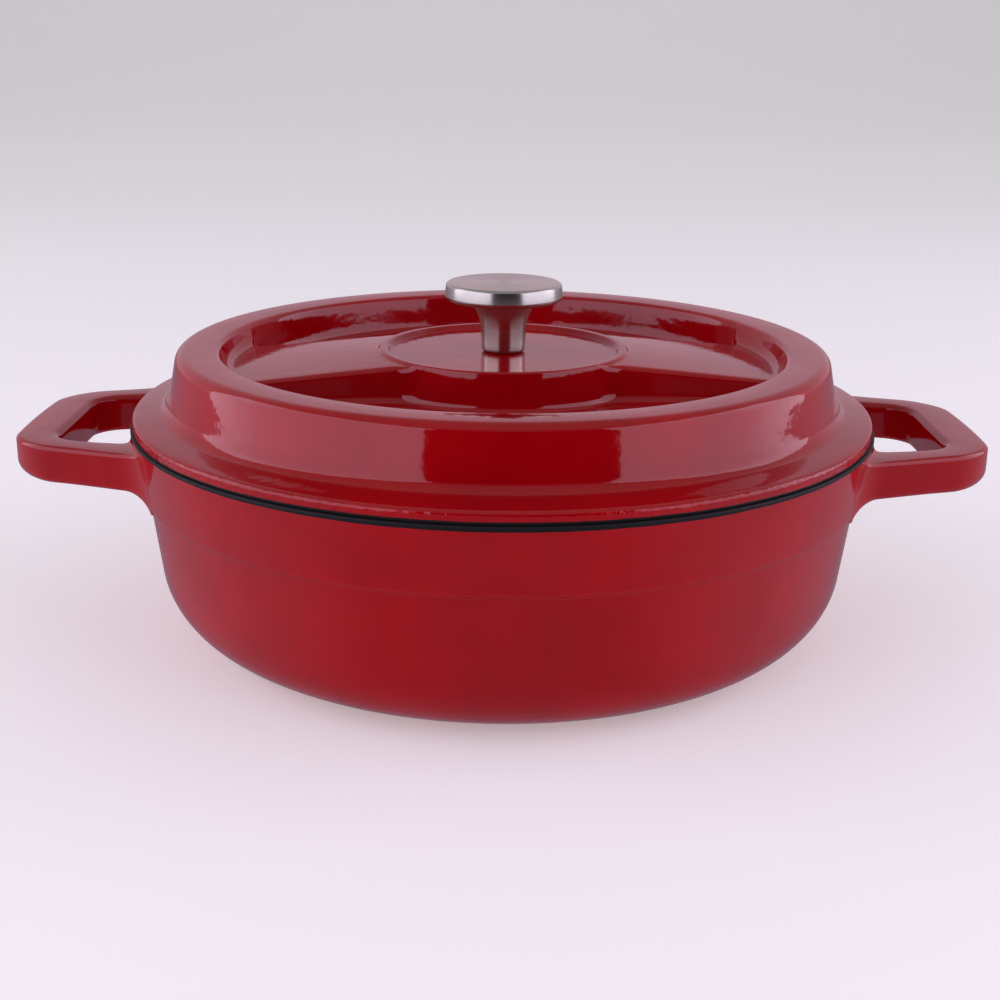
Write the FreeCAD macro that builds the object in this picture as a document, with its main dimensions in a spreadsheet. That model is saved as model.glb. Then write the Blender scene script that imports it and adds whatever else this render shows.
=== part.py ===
"""Shallow enamelled cast iron casserole with two loop handles, a domed lid and a steel knob.

The origin is the middle of the base, +Z is up and the handles lie along X. Sizes are in millimetres.
The pot casting is written as three solids, the bowl and its two handles, that meet face to face. The lid
casting, the knob and the screw and washers that hold the knob are a solid each.
"""
import FreeCAD, Part
import Sketcher
import os

SIZES = {
    "Bowl: radii of the outside at the base plane, under the band and at the rim": {
        "wall_foot_radius": 130.7,
        "wall_corner_round": 30.0,
        "wall_top_radius": 137.9,
        "wall_top_height": 56.0,
        "band_low_radius": 140.3,
        "band_low_height": 57.4,
        "rim_radius": 143.6,
        "rim_height": 81.6,
        "rim_outer_round": 1.6,
        "rim_inner_round": 1.2,
    },
    "Bowl: its inside and the shallow hollow under its base": {
        "rim_inner_radius": 137.4,
        "inside_foot_radius": 127.5,
        "inside_corner_round": 26.0,
        "floor_height": 4.5,
        "base_hollow_radius": 92.0,
        "base_hollow_depth": 1.0,
    },
    "Loop handles: reach is along X, half width along Y; the roots start inside the bowl's wall": {
        "handle_top": 77.6,
        "handle_thickness": 15.0,
        "handle_root_radius": 139.0,
        "handle_root_half_width": 56.6,
        "handle_corner_reach": 182.65,
        "handle_corner_half_width": 39.7,
        "handle_end_bow": 275.0,
        "handle_corner_round": 20.0,
        "gap_root_radius": 140.2,
        "gap_root_half_width": 38.0,
        "gap_end_reach": 168.5,
        "gap_end_half_width": 32.2,
        "gap_corner_round": 12.0,
        "handle_low_round": 4.0,
        "gap_low_round": 2.0,
        "handle_root_round": 6.0,
    },
    "Lid casting": {
        "lid_radius": 142.5,
        "lid_edge_height": 86.0,
        "lid_low_round": 1.0,
        "lid_edge_round": 1.8,
        "lid_wall_foot_radius": 129.2,
        "lid_wall_foot_height": 88.2,
        "lid_wall_foot_round": 5.5,
        "ring_outer_radius": 125.2,
        "ring_outer_height": 109.3,
        "ring_outer_round": 4.0,
        "ring_inner_radius": 109.3,
        "ring_inner_height": 108.9,
        "ring_inner_round": 1.7,
        "crown_outer_radius": 107.0,
        "crown_outer_height": 100.8,
        "crown_inner_radius": 48.6,
        "crown_inner_height": 106.8,
        "lid_thickness": 4.5,
    },
    "Lid: sunk plate, bar and pockets": {
        "plate_radius": 44.2,
        "plate_height": 106.0,
        "plate_rim_inner_radius": 45.2,
        "plate_rim_outer_radius": 47.6,
        "plate_rim_height": 107.9,
        "plate_rim_round": 0.8,
        "bar_half_width": 32.5,
        "pocket_inner_radius": 48.4,
        "pocket_outer_radius": 107.6,
        "pocket_floor": 93.0,
        "pocket_corner_round": 6.0,
        "pocket_floor_round": 4.0,
        "pocket_space_rise": 5.0,
        "hub_radius": 40.0,
        "crown_underside_radius": 43.0,
        "crown_underside_height": 100.4,
        "pocket_boss_clearance": 0.2,
        "ring_channel_inner_radius": 112.2,
        "ring_channel_inner_height": 96.3,
        "ring_channel_wall_lean": 1.8,
        "lid_turned_by": 4.0,
    },
    "Lid: locating ring that hangs inside the rim": {
        "spigot_outer_radius": 136.4,
        "spigot_low_radius": 135.8,
        "spigot_inner_radius": 131.6,
        "spigot_drop": 5.0,
        "spigot_flange_rise": 1.4,
    },
    "Knob": {
        "knob_foot_radius": 7.4,
        "knob_stem_low_radius": 8.7,
        "knob_stem_low_height": 107.6,
        "knob_stem_top_radius": 9.0,
        "knob_stem_top_height": 118.6,
        "knob_flare_radius": 13.0,
        "knob_disc_low_height": 126.2,
        "knob_disc_low_radius": 21.8,
        "knob_disc_radius": 23.0,
        "knob_disc_widest_height": 127.6,
        "knob_top_radius": 22.3,
        "knob_top_height": 133.0,
        "knob_top_round": 1.8,
        "knob_flare_round": 14.0,
        "knob_hole_depth": 12.0,
    },
    "Screw and washers, M6": {
        "screw_radius": 3.0,
        "screw_hole_radius": 3.3,
        "screw_length": 16.0,
        "screw_head_radius": 6.0,
        "screw_head_height": 3.6,
        "screw_head_round": 2.4,
        "screw_recess_width": 1.6,
        "screw_recess_length": 6.2,
        "screw_recess_depth": 2.0,
        "washer_radius": 9.0,
        "washer_thickness": 1.6,
        "washer_hole_radius": 3.2,
        "spring_washer_radius": 5.9,
        "spring_washer_thickness": 1.6,
        "spring_washer_gap": 1.2,
        "split_overshoot": 1.0,
    },
}
TOLERANCE = 0.01
MARGIN = 1.0
POINTS_CHECKED = 5

doc = FreeCAD.newDocument("casserole")


# The sheet and the sketches


def make_sheet():
    """Write every size into a sheet cell that has the size's name as its alias."""
    new_sheet = doc.addObject("Spreadsheet::Sheet", "Sizes")
    row = 1
    for heading, sizes in SIZES.items():
        new_sheet.set(f"A{row}", heading)
        row += 1
        for name, size in sizes.items():
            new_sheet.set(f"A{row}", name.replace("_", " "))
            new_sheet.set(f"B{row}", str(size))
            new_sheet.setAlias(f"B{row}", name)
            row += 1
    doc.recompute()
    return new_sheet


sheet = make_sheet()


def value(expression):
    """The number that an expression on the sheet's sizes comes to."""
    return float(sheet.evalExpression(expression))


def origin_plane(body, role):
    """One of a body's own origin planes, such as XZ_Plane."""
    return next(feature for feature in body.Origin.OriginFeatures if feature.Role == role)


def new_sketch(body, name, role, height=None):
    """A sketch on one of the body's planes, lifted to a height where one is given."""
    sketch = body.newObject("Sketcher::SketchObject", name)
    sketch.AttachmentSupport = (origin_plane(body, role), "")
    sketch.MapMode = "FlatFace"
    if height is not None:
        sketch.setExpression("AttachmentOffset.Base.z", height)
    return sketch


def place_corner(sketch, edge, end, corner):
    """Fix one end of an edge at a corner given as two expressions, where "0" puts it on an axis."""
    for kind, axis, expression in zip(("DistanceX", "DistanceY"), (-2, -1), corner):
        if expression == "0":
            sketch.addConstraint(Sketcher.Constraint("PointOnObject", edge, end, axis))
        else:
            place = sketch.addConstraint(Sketcher.Constraint(kind, edge, end, value(expression)))
            sketch.setExpression(f"Constraints[{place}]", expression)


def draw_outline(sketch, corners, bows=None, hollow=()):
    """Close an outline, drawn anticlockwise through its corners, each a pair of expressions.

    bows gives the radius of the arc that leaves a corner, by the corner's index. The arc bulges out of the
    outline, or into it where the index is also in hollow. Every other edge is straight.
    """
    bows = bows or {}
    places = [FreeCAD.Vector(value(across), value(up), 0) for across, up in corners]
    count = len(places)
    first = sketch.GeometryCount
    for index, start in enumerate(places):
        end = places[(index + 1) % count]
        if index not in bows:
            sketch.addGeometry(Part.LineSegment(start, end))
            continue
        chord = end - start
        radius = value(bows[index])
        rise = radius - (radius ** 2 - (chord.Length / 2) ** 2) ** 0.5
        outwards = FreeCAD.Vector(chord.y, -chord.x, 0).normalize()
        side = -1 if index in hollow else 1
        sketch.addGeometry(Part.Arc(start, (start + end) / 2 + outwards * side * rise, end))
    # A sketch counts an arc anticlockwise, so a hollow arc's first end is where the outline leaves it.
    starts = [2 if index in hollow else 1 for index in range(count)]
    ends = [1 if index in hollow else 2 for index in range(count)]
    for index, corner in enumerate(corners):
        edge = first + index
        following = (index + 1) % count
        joint = Sketcher.Constraint("Coincident", edge, ends[index], first + following, starts[following])
        sketch.addConstraint(joint)
        place_corner(sketch, edge, starts[index], corner)
        if index in bows:
            size = sketch.addConstraint(Sketcher.Constraint("Radius", edge, value(bows[index])))
            sketch.setExpression(f"Constraints[{size}]", bows[index])


# Features


def new_body(name):
    """A PartDesign body whose label names its file."""
    body = doc.addObject("PartDesign::Body", name)
    body.Label = name
    return body


def turn_profile(body, name, corners, kind="PartDesign::Revolution", **arcs):
    """Turn an outline in the XZ plane, each corner a radius and a height, once round the Z axis."""
    sketch = new_sketch(body, f"{name}_profile", "XZ_Plane")
    draw_outline(sketch, corners, **arcs)
    turned = body.newObject(kind, name)
    turned.Profile = sketch
    turned.ReferenceAxis = (sketch, ["V_Axis"])
    turned.Angle = 360
    doc.recompute()
    return turned


def round_edges(body, name, base, chosen, radius):
    """Round the base feature's edges that chosen(edge) picks, with the radius that an expression gives."""
    names = [f"Edge{number}" for number, edge in enumerate(base.Shape.Edges, 1) if chosen(edge)]
    if not names:
        raise ValueError(f"{name} found no edge to round")
    rounded = body.newObject("PartDesign::Fillet", name)
    rounded.Base = (base, names)
    rounded.setExpression("Radius", radius)
    doc.recompute()
    return rounded


def circle_at(radius, height):
    """A test for a circular edge about the Z axis, with its radius and height given as expressions."""
    wanted_radius = value(radius)
    wanted_height = value(height)

    def chosen(edge):
        """Whether the edge is that circle."""
        if not isinstance(edge.Curve, Part.Circle):
            return False
        centre = edge.Curve.Center
        return (
            abs(edge.Curve.Radius - wanted_radius) < TOLERANCE
            and abs(centre.z - wanted_height) < TOLERANCE
            and abs(centre.x) + abs(centre.y) < TOLERANCE
        )

    return chosen


def round_circles(body, base, rounds):
    """Round circles one after another, each a name, a radius, a height and the rounding's radius."""
    for name, radius, height, rounding in rounds:
        base = round_edges(body, name, base, circle_at(radius, height), rounding)
    return base


def check_change(before, after, grows):
    """Stop if a feature that should add material, or take it away, didn't."""
    change = after.Shape.Volume - before.Shape.Volume
    if (change > 1.0) != grows or abs(change) < 1.0:
        raise ValueError(f"{after.Name} changed the volume by {change:.1f} mm3")


# Pot casting


def make_bowl():
    """The bowl: a flared wall that steps out to an upright band under the rim."""
    body = new_body("pot_bowl")
    turned = turn_profile(body, "bowl_turned", [
        ("0", "Sizes.base_hollow_depth"),
        ("Sizes.base_hollow_radius", "Sizes.base_hollow_depth"),
        ("Sizes.base_hollow_radius + Sizes.base_hollow_depth", "0"),
        ("Sizes.wall_foot_radius", "0"),
        ("Sizes.wall_top_radius", "Sizes.wall_top_height"),
        ("Sizes.band_low_radius", "Sizes.band_low_height"),
        ("Sizes.rim_radius", "Sizes.rim_height"),
        ("Sizes.rim_inner_radius", "Sizes.rim_height"),
        ("Sizes.inside_foot_radius", "Sizes.floor_height"),
        ("0", "Sizes.floor_height"),
    ])
    round_circles(body, turned, [
        ("bowl_outer_corner", "Sizes.wall_foot_radius", "0", "Sizes.wall_corner_round"),
        ("bowl_inner_corner", "Sizes.inside_foot_radius", "Sizes.floor_height", "Sizes.inside_corner_round"),
        ("rim_outer_edge", "Sizes.rim_radius", "Sizes.rim_height", "Sizes.rim_outer_round"),
        ("rim_inner_edge", "Sizes.rim_inner_radius", "Sizes.rim_height", "Sizes.rim_inner_round"),
    ])
    return body


def draw_handle_plan(sketch):
    """The handle's outline and its finger gap, both with a root that follows the bowl's round wall."""
    root = "sqrt(Sizes.handle_root_radius^2 - Sizes.handle_root_half_width^2)"
    draw_outline(sketch, [
        (root, "-Sizes.handle_root_half_width"),
        ("Sizes.handle_corner_reach", "-Sizes.handle_corner_half_width"),
        ("Sizes.handle_corner_reach", "Sizes.handle_corner_half_width"),
        (root, "Sizes.handle_root_half_width"),
    ], bows={1: "Sizes.handle_end_bow", 3: "Sizes.handle_root_radius"}, hollow={3})
    gap_root = "sqrt(Sizes.gap_root_radius^2 - Sizes.gap_root_half_width^2)"
    draw_outline(sketch, [
        (gap_root, "-Sizes.gap_root_half_width"),
        ("Sizes.gap_end_reach", "-Sizes.gap_end_half_width"),
        ("Sizes.gap_end_reach", "Sizes.gap_end_half_width"),
        (gap_root, "Sizes.gap_root_half_width"),
    ], bows={3: "Sizes.gap_root_radius"}, hollow={3})


def upright_at(reach):
    """A test for an upright edge at a distance along X given as an expression."""
    wanted = value(reach)

    def chosen(edge):
        """Whether the edge is upright and stands there."""
        box = edge.BoundBox
        if box.ZLength < TOLERANCE or box.XLength + box.YLength > TOLERANCE:
            return False
        return abs(box.Center.x - wanted) < TOLERANCE

    return chosen


def under_handle(gap_side):
    """A test for the edges of the handle's underside, on the finger gap's side or on the outer side."""
    underside = value("Sizes.handle_top - Sizes.handle_thickness")
    root_radius = value("Sizes.rim_radius")
    bar_middle = value("(Sizes.handle_corner_reach + Sizes.gap_end_reach) / 2")
    bar_side = value("(Sizes.handle_root_half_width + Sizes.gap_root_half_width) / 2")
    length = value("Sizes.handle_corner_reach - Sizes.rim_radius")
    taper = value("Sizes.handle_root_half_width - Sizes.handle_corner_half_width") / length

    def chosen(edge):
        """Whether the edge is level with the underside, outside the wall and on the wanted side."""
        box = edge.BoundBox
        if box.ZLength > TOLERANCE or abs(box.Center.z - underside) > TOLERANCE:
            return False
        middle = edge.valueAt((edge.FirstParameter + edge.LastParameter) / 2)
        if box.XMax < root_radius:
            return False
        inside_sides = abs(middle.y) < bar_side - taper * (middle.x - root_radius)
        return (inside_sides and middle.x < bar_middle) == gap_side

    return chosen


def on_band(edge):
    """Whether the edge lies on the bowl's band, below the handle's top."""
    low = (value("Sizes.band_low_height"), value("Sizes.band_low_radius"))
    slope = (value("Sizes.rim_radius") - low[1]) / (value("Sizes.rim_height") - low[0])
    top = value("Sizes.handle_top")
    box = edge.BoundBox
    if box.XMax < 0 or box.ZMin > top - MARGIN or box.ZMin < low[0] + MARGIN:
        return False
    return all(
        abs((point.x ** 2 + point.y ** 2) ** 0.5 - low[1] - slope * (point.z - low[0])) < TOLERANCE
        for point in edge.discretize(POINTS_CHECKED)
    )


def make_handles(bowl):
    """The two loop handles, cast on the bowl: each is what a bowl with a handle has more than a bowl."""
    casting = doc.addObject("PartDesign::Body", "bowl_with_handle")
    casting.BaseFeature = bowl
    doc.recompute()
    base = casting.Tip
    plan = new_sketch(casting, "handle_plan", "XY_Plane", "Sizes.handle_top")
    draw_handle_plan(plan)
    plate = casting.newObject("PartDesign::Pad", "handle_plate")
    plate.Profile = plan
    plate.Reversed = True
    plate.setExpression("Length", "Sizes.handle_thickness")
    doc.recompute()
    check_change(base, plate, grows=True)
    shaped = plate
    for name, chosen, radius in [
        ("handle_corners", upright_at("Sizes.handle_corner_reach"), "Sizes.handle_corner_round"),
        ("gap_corners", upright_at("Sizes.gap_end_reach"), "Sizes.gap_corner_round"),
        ("handle_low_edges", under_handle(gap_side=False), "Sizes.handle_low_round"),
        ("gap_low_edges", under_handle(gap_side=True), "Sizes.gap_low_round"),
    ]:
        shaped = round_edges(casting, name, shaped, chosen, radius)
    round_edges(casting, "handle_roots", shaped, on_band, "Sizes.handle_root_round")
    right = doc.addObject("Part::Cut", "right_handle")
    right.Base = casting
    right.Tool = bowl
    left = doc.addObject("Part::Mirroring", "left_handle")
    left.Source = right
    left.Normal = FreeCAD.Vector(1, 0, 0)
    doc.recompute()
    return [left, right]


# Lid casting


def make_lid_blank():
    """The lid before its pockets: a flange, a wall up to a ring, and a crown with a sunk plate."""
    body = new_body("lid_blank")
    turned = turn_profile(body, "lid_turned", [
        ("Sizes.screw_hole_radius", "Sizes.plate_height - Sizes.lid_thickness"),
        ("Sizes.hub_radius", "Sizes.plate_height - Sizes.lid_thickness"),
        ("Sizes.crown_underside_radius", "Sizes.crown_underside_height"),
        ("Sizes.crown_outer_radius", "Sizes.ring_channel_inner_height"),
        ("Sizes.ring_channel_inner_radius", "Sizes.ring_channel_inner_height"),
        ("Sizes.ring_channel_inner_radius + Sizes.ring_channel_wall_lean",
         "Sizes.ring_inner_height - Sizes.lid_thickness"),
        ("Sizes.ring_outer_radius - Sizes.lid_thickness", "Sizes.ring_outer_height - Sizes.lid_thickness"),
        ("Sizes.lid_wall_foot_radius - Sizes.lid_thickness", "Sizes.rim_height + Sizes.spigot_flange_rise"),
        ("Sizes.spigot_inner_radius", "Sizes.rim_height + Sizes.spigot_flange_rise"),
        ("Sizes.spigot_inner_radius", "Sizes.rim_height - Sizes.spigot_drop"),
        ("Sizes.spigot_low_radius", "Sizes.rim_height - Sizes.spigot_drop"),
        ("Sizes.spigot_outer_radius", "Sizes.rim_height"),
        ("Sizes.lid_radius", "Sizes.rim_height"),
        ("Sizes.lid_radius", "Sizes.lid_edge_height"),
        ("Sizes.lid_wall_foot_radius", "Sizes.lid_wall_foot_height"),
        ("Sizes.ring_outer_radius", "Sizes.ring_outer_height"),
        ("Sizes.ring_inner_radius", "Sizes.ring_inner_height"),
        ("Sizes.crown_outer_radius", "Sizes.crown_outer_height"),
        ("Sizes.crown_inner_radius", "Sizes.crown_inner_height"),
        ("Sizes.plate_rim_outer_radius", "Sizes.plate_rim_height"),
        ("Sizes.plate_rim_inner_radius", "Sizes.plate_rim_height"),
        ("Sizes.plate_radius", "Sizes.plate_height"),
        ("Sizes.screw_hole_radius", "Sizes.plate_height"),
    ])
    round_circles(body, turned, [
        ("lid_low_edge", "Sizes.lid_radius", "Sizes.rim_height", "Sizes.lid_low_round"),
        ("lid_top_edge", "Sizes.lid_radius", "Sizes.lid_edge_height", "Sizes.lid_edge_round"),
        ("lid_wall_foot", "Sizes.lid_wall_foot_radius", "Sizes.lid_wall_foot_height",
         "Sizes.lid_wall_foot_round"),
        ("ring_outer_edge", "Sizes.ring_outer_radius", "Sizes.ring_outer_height", "Sizes.ring_outer_round"),
        ("ring_inner_edge", "Sizes.ring_inner_radius", "Sizes.ring_inner_height", "Sizes.ring_inner_round"),
        ("plate_rim_edge", "Sizes.plate_rim_outer_radius", "Sizes.plate_rim_height", "Sizes.plate_rim_round"),
    ])
    return body


def draw_pocket(sketch, inner_radius, outer_radius, half_width):
    """A pocket's plan, between the plate's circle and the ring's circle, beyond the bar's edge."""
    near = f"sqrt(({inner_radius})^2 - ({half_width})^2)"
    far = f"sqrt(({outer_radius})^2 - ({half_width})^2)"
    corners = [(near, half_width), (far, half_width), (f"-{far}", half_width), (f"-{near}", half_width)]
    draw_outline(sketch, corners, bows={1: outer_radius, 3: inner_radius}, hollow={3})


def make_pocket_block(name, floor, top, growth):
    """A block with a pocket's plan, grown by a wall's thickness, and with its corners and floor rounded."""
    body = new_body(name)
    plan = new_sketch(body, f"{name}_plan", "XY_Plane", floor)
    draw_pocket(
        plan,
        f"Sizes.pocket_inner_radius - {growth}",
        f"Sizes.pocket_outer_radius + {growth}",
        f"Sizes.bar_half_width - {growth}",
    )
    block = body.newObject("PartDesign::Pad", f"{name}_block")
    block.Profile = plan
    block.setExpression("Length", f"{top} - ({floor})")
    doc.recompute()
    floor_height = value(floor)
    corners = round_edges(
        body, f"{name}_corners", block, lambda edge: edge.BoundBox.ZLength > MARGIN,
        f"Sizes.pocket_corner_round + {growth}",
    )
    round_edges(
        body, f"{name}_floor", corners, lambda edge: edge.BoundBox.ZMax < floor_height + TOLERANCE,
        "Sizes.pocket_floor_round",
    )
    return body


def mirror_behind(source):
    """The same solid on the other side of the bar, along +Y or -Y."""
    mirrored = doc.addObject("Part::Mirroring", f"{source.Name}_behind")
    mirrored.Source = source
    mirrored.Normal = FreeCAD.Vector(0, 1, 0)
    return mirrored


def make_lid():
    """The lid, with a pocket sunk on each side of its bar and a floor as thick as the crown under each.

    It lies on the pot turned a little, so its bar isn't quite in line with the handles.
    """
    blank = make_lid_blank()
    boss = make_pocket_block(
        "pocket_boss", "Sizes.pocket_floor - Sizes.lid_thickness",
        "Sizes.crown_outer_height - Sizes.pocket_boss_clearance", "Sizes.lid_thickness",
    )
    space = make_pocket_block(
        "pocket_space", "Sizes.pocket_floor", "Sizes.ring_outer_height + Sizes.pocket_space_rise", "0",
    )
    filled = doc.addObject("Part::MultiFuse", "lid_filled")
    filled.Shapes = [blank, boss, mirror_behind(boss)]
    spaces = doc.addObject("Part::Compound", "pocket_spaces")
    spaces.Links = [space, mirror_behind(space)]
    lid = doc.addObject("Part::Cut", "lid")
    lid.Base = filled
    lid.Tool = spaces
    lid.setExpression("Placement.Rotation.Angle", "Sizes.lid_turned_by")
    doc.recompute()
    return lid


# Knob and its fastening


def make_knob():
    """The knob: a thick disc on a slim stem that flares under it, with a blind hole for the screw."""
    body = new_body("knob")
    base = "Sizes.plate_height"
    turned = turn_profile(body, "knob_turned", [
        ("Sizes.screw_radius", base),
        ("Sizes.knob_foot_radius", base),
        ("Sizes.knob_stem_low_radius", "Sizes.knob_stem_low_height"),
        ("Sizes.knob_stem_top_radius", "Sizes.knob_stem_top_height"),
        ("Sizes.knob_flare_radius", "Sizes.knob_disc_low_height"),
        ("Sizes.knob_disc_low_radius", "Sizes.knob_disc_low_height"),
        ("Sizes.knob_disc_radius", "Sizes.knob_disc_widest_height"),
        ("Sizes.knob_top_radius", "Sizes.knob_top_height"),
        ("0", "Sizes.knob_top_height"),
        ("0", f"{base} + Sizes.knob_hole_depth"),
        ("Sizes.screw_radius", f"{base} + Sizes.knob_hole_depth"),
    ])
    round_circles(body, turned, [
        ("knob_top_edge", "Sizes.knob_top_radius", "Sizes.knob_top_height", "Sizes.knob_top_round"),
        ("knob_flare", "Sizes.knob_stem_top_radius", "Sizes.knob_stem_top_height", "Sizes.knob_flare_round"),
    ])
    return body


def make_washer():
    """The flat washer under the lid's plate."""
    body = new_body("flat_washer")
    top = "Sizes.plate_height - Sizes.lid_thickness"
    bottom = f"{top} - Sizes.washer_thickness"
    turn_profile(body, "washer_turned", [
        ("Sizes.washer_hole_radius", bottom),
        ("Sizes.washer_radius", bottom),
        ("Sizes.washer_radius", top),
        ("Sizes.washer_hole_radius", top),
    ])
    return body


def make_spring_washer():
    """The split spring washer, pressed flat between the flat washer and the screw's head."""
    body = new_body("spring_washer")
    top = "Sizes.plate_height - Sizes.lid_thickness - Sizes.washer_thickness"
    bottom = f"{top} - Sizes.spring_washer_thickness"
    turned = turn_profile(body, "spring_washer_turned", [
        ("Sizes.washer_hole_radius", bottom),
        ("Sizes.spring_washer_radius", bottom),
        ("Sizes.spring_washer_radius", top),
        ("Sizes.washer_hole_radius", top),
    ])
    # The split leans across the ring's section, so its outline is drawn on the XZ plane and cut along +Y.
    plan = new_sketch(body, "split_plan", "XZ_Plane")
    below = f"{bottom} - Sizes.split_overshoot"
    above = f"{top} + Sizes.split_overshoot"
    draw_outline(plan, [
        ("-Sizes.spring_washer_gap", below),
        ("0", below),
        ("Sizes.spring_washer_gap", above),
        ("0", above),
    ])
    split = body.newObject("PartDesign::Pocket", "split")
    split.Profile = plan
    split.setExpression("Length", "Sizes.spring_washer_radius + Sizes.split_overshoot")
    doc.recompute()
    check_change(turned, split, grows=False)
    return body


def make_screw():
    """The M6 pan head screw that holds the knob from under the lid, with a cross recess in its head."""
    body = new_body("knob_screw")
    seat = (
        "Sizes.plate_height - Sizes.lid_thickness - Sizes.washer_thickness - Sizes.spring_washer_thickness"
    )
    head = f"{seat} - Sizes.screw_head_height"
    turned = turn_profile(body, "screw_turned", [
        ("0", head),
        ("Sizes.screw_head_radius", head),
        ("Sizes.screw_head_radius", seat),
        ("Sizes.screw_radius", seat),
        ("Sizes.screw_radius", f"{seat} + Sizes.screw_length"),
        ("0", f"{seat} + Sizes.screw_length"),
    ])
    rounded = round_circles(body, turned, [
        ("head_edge", "Sizes.screw_head_radius", head, "Sizes.screw_head_round"),
    ])
    for name, along, across in [
        ("recess_long", "Sizes.screw_recess_length / 2", "Sizes.screw_recess_width / 2"),
        ("recess_cross", "Sizes.screw_recess_width / 2", "Sizes.screw_recess_length / 2"),
    ]:
        plan = new_sketch(body, f"{name}_plan", "XY_Plane", head)
        draw_outline(plan, [
            (f"-{along}", f"-{across}"), (along, f"-{across}"), (along, across), (f"-{along}", across),
        ])
        recess = body.newObject("PartDesign::Pocket", name)
        recess.Profile = plan
        recess.Reversed = True
        recess.setExpression("Length", "Sizes.screw_recess_depth")
        doc.recompute()
        check_change(rounded, recess, grows=False)
        rounded = recess
    return body


def check_and_export(nodes):
    """Stop at any failed object or bad shape, and write each node to a STEP file of its own."""
    failed = [item.Name for item in doc.Objects if {"Invalid", "Error"} & set(item.State)]
    if failed:
        raise RuntimeError(f"failed objects: {failed}")
    for node in nodes:
        if node.Shape.isNull() or not node.Shape.isValid() or len(node.Shape.Solids) != 1:
            raise RuntimeError(f"{node.Label} isn't one valid solid")
    os.makedirs("parts", exist_ok=True)
    for node in nodes:
        node.Shape.exportStep(f"parts/{node.Label}.step")
        print(f"{node.Label}: {node.Shape.Volume / 1000:.1f} cm3")


def main():
    """Make the casserole's pieces and write them."""
    bowl = make_bowl()
    nodes = [bowl, *make_handles(bowl), make_lid(), make_knob()]
    nodes += [make_washer(), make_spring_washer(), make_screw()]
    doc.recompute()
    check_and_export(nodes)


main()
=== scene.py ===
"""Shallow enamelled cast iron casserole with loop handles, a ringed lid and a steel knob.

The pieces are made in millimetres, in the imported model's own frame, and are scaled to metres when they are
finished. +Z is up, the handles lie along X and the origin is the middle of the base.
"""
import logging
import math
from dataclasses import dataclass
from enum import Enum
from typing import Any, Iterable, Sequence

import bmesh
import bpy
from mathutils import Matrix, Vector
from mathutils.noise import noise as noise_at


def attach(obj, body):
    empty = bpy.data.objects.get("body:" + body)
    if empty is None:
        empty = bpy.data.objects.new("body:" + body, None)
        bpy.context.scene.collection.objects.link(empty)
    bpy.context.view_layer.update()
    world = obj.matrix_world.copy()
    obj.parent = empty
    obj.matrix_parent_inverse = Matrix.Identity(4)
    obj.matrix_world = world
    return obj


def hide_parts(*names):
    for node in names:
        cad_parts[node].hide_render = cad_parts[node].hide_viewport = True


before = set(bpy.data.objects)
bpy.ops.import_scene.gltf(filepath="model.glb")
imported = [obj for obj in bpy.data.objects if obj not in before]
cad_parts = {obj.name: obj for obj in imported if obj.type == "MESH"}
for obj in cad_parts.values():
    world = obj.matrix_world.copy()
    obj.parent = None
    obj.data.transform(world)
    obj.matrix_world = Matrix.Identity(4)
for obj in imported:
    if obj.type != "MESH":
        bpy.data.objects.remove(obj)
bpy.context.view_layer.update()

MM = 0.001
CRISP_ANGLE = math.radians(38)
WELD = 1e-4
SAME = 1e-3
LOG = logging.getLogger("casserole")


# Colour and nodes


def linear(code: str) -> tuple[float, float, float, float]:
    """Turn an sRGB hex colour into the linear one that shaders take.

    Args:
        code: Six hex digits.

    Returns:
        Linear red, green, blue and an alpha of 1.
    """
    parts = [int(code[place:place + 2], 16) / 255 for place in (0, 2, 4)]
    red, green, blue = (
        part / 12.92 if part <= 0.04045 else ((part + 0.055) / 1.055) ** 2.4 for part in parts
    )
    return (red, green, blue, 1.0)


def add_node(
    tree: bpy.types.NodeTree, kind: str, settings: dict[Any, Any] | None = None,
    links: dict[Any, bpy.types.NodeSocket] | None = None,
) -> bpy.types.Node:
    """Add a node with its settings and the links into it.

    Args:
        tree: The tree that the node joins.
        kind: The node's type name.
        settings: Values by the name of an attribute, or by an input's name or number.
        links: Output sockets by the name or number of the input that each one feeds.

    Returns:
        The new node.
    """
    node = tree.nodes.new(kind)
    for key, setting in (settings or {}).items():
        if isinstance(key, str) and hasattr(node, key):
            setattr(node, key, setting)
        else:
            node.inputs[key].default_value = setting
    for key, source in (links or {}).items():
        tree.links.new(source, node.inputs[key])
    return node


def start_material(name: str) -> tuple[bpy.types.Material, bpy.types.NodeTree, bpy.types.Node]:
    """Make a material whose tree holds only its shader and output.

    Args:
        name: The material's name.

    Returns:
        The material, its tree and its Principled shader.
    """
    material = bpy.data.materials.new(name)
    material.use_nodes = True
    tree = material.node_tree
    tree.nodes.clear()
    shader = add_node(tree, "ShaderNodeBsdfPrincipled")
    add_node(tree, "ShaderNodeOutputMaterial", links={"Surface": shader.outputs["BSDF"]})
    return material, tree, shader


def noise_on_object(
    tree: bpy.types.NodeTree, feature_mm: float, detail: float = 2.0,
) -> bpy.types.NodeSocket:
    """Add noise on Object coordinates.

    Args:
        tree: The material's tree.
        feature_mm: The size of the noise's features.
        detail: How many finer layers the noise has.

    Returns:
        The noise's value socket.
    """
    place = add_node(tree, "ShaderNodeTexCoord")
    texture = add_node(
        tree, "ShaderNodeTexNoise",
        {"Scale": 1 / (feature_mm * MM), "Detail": detail, "Roughness": 0.5},
        {"Vector": place.outputs["Object"]},
    )
    return texture.outputs["Fac"]


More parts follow.
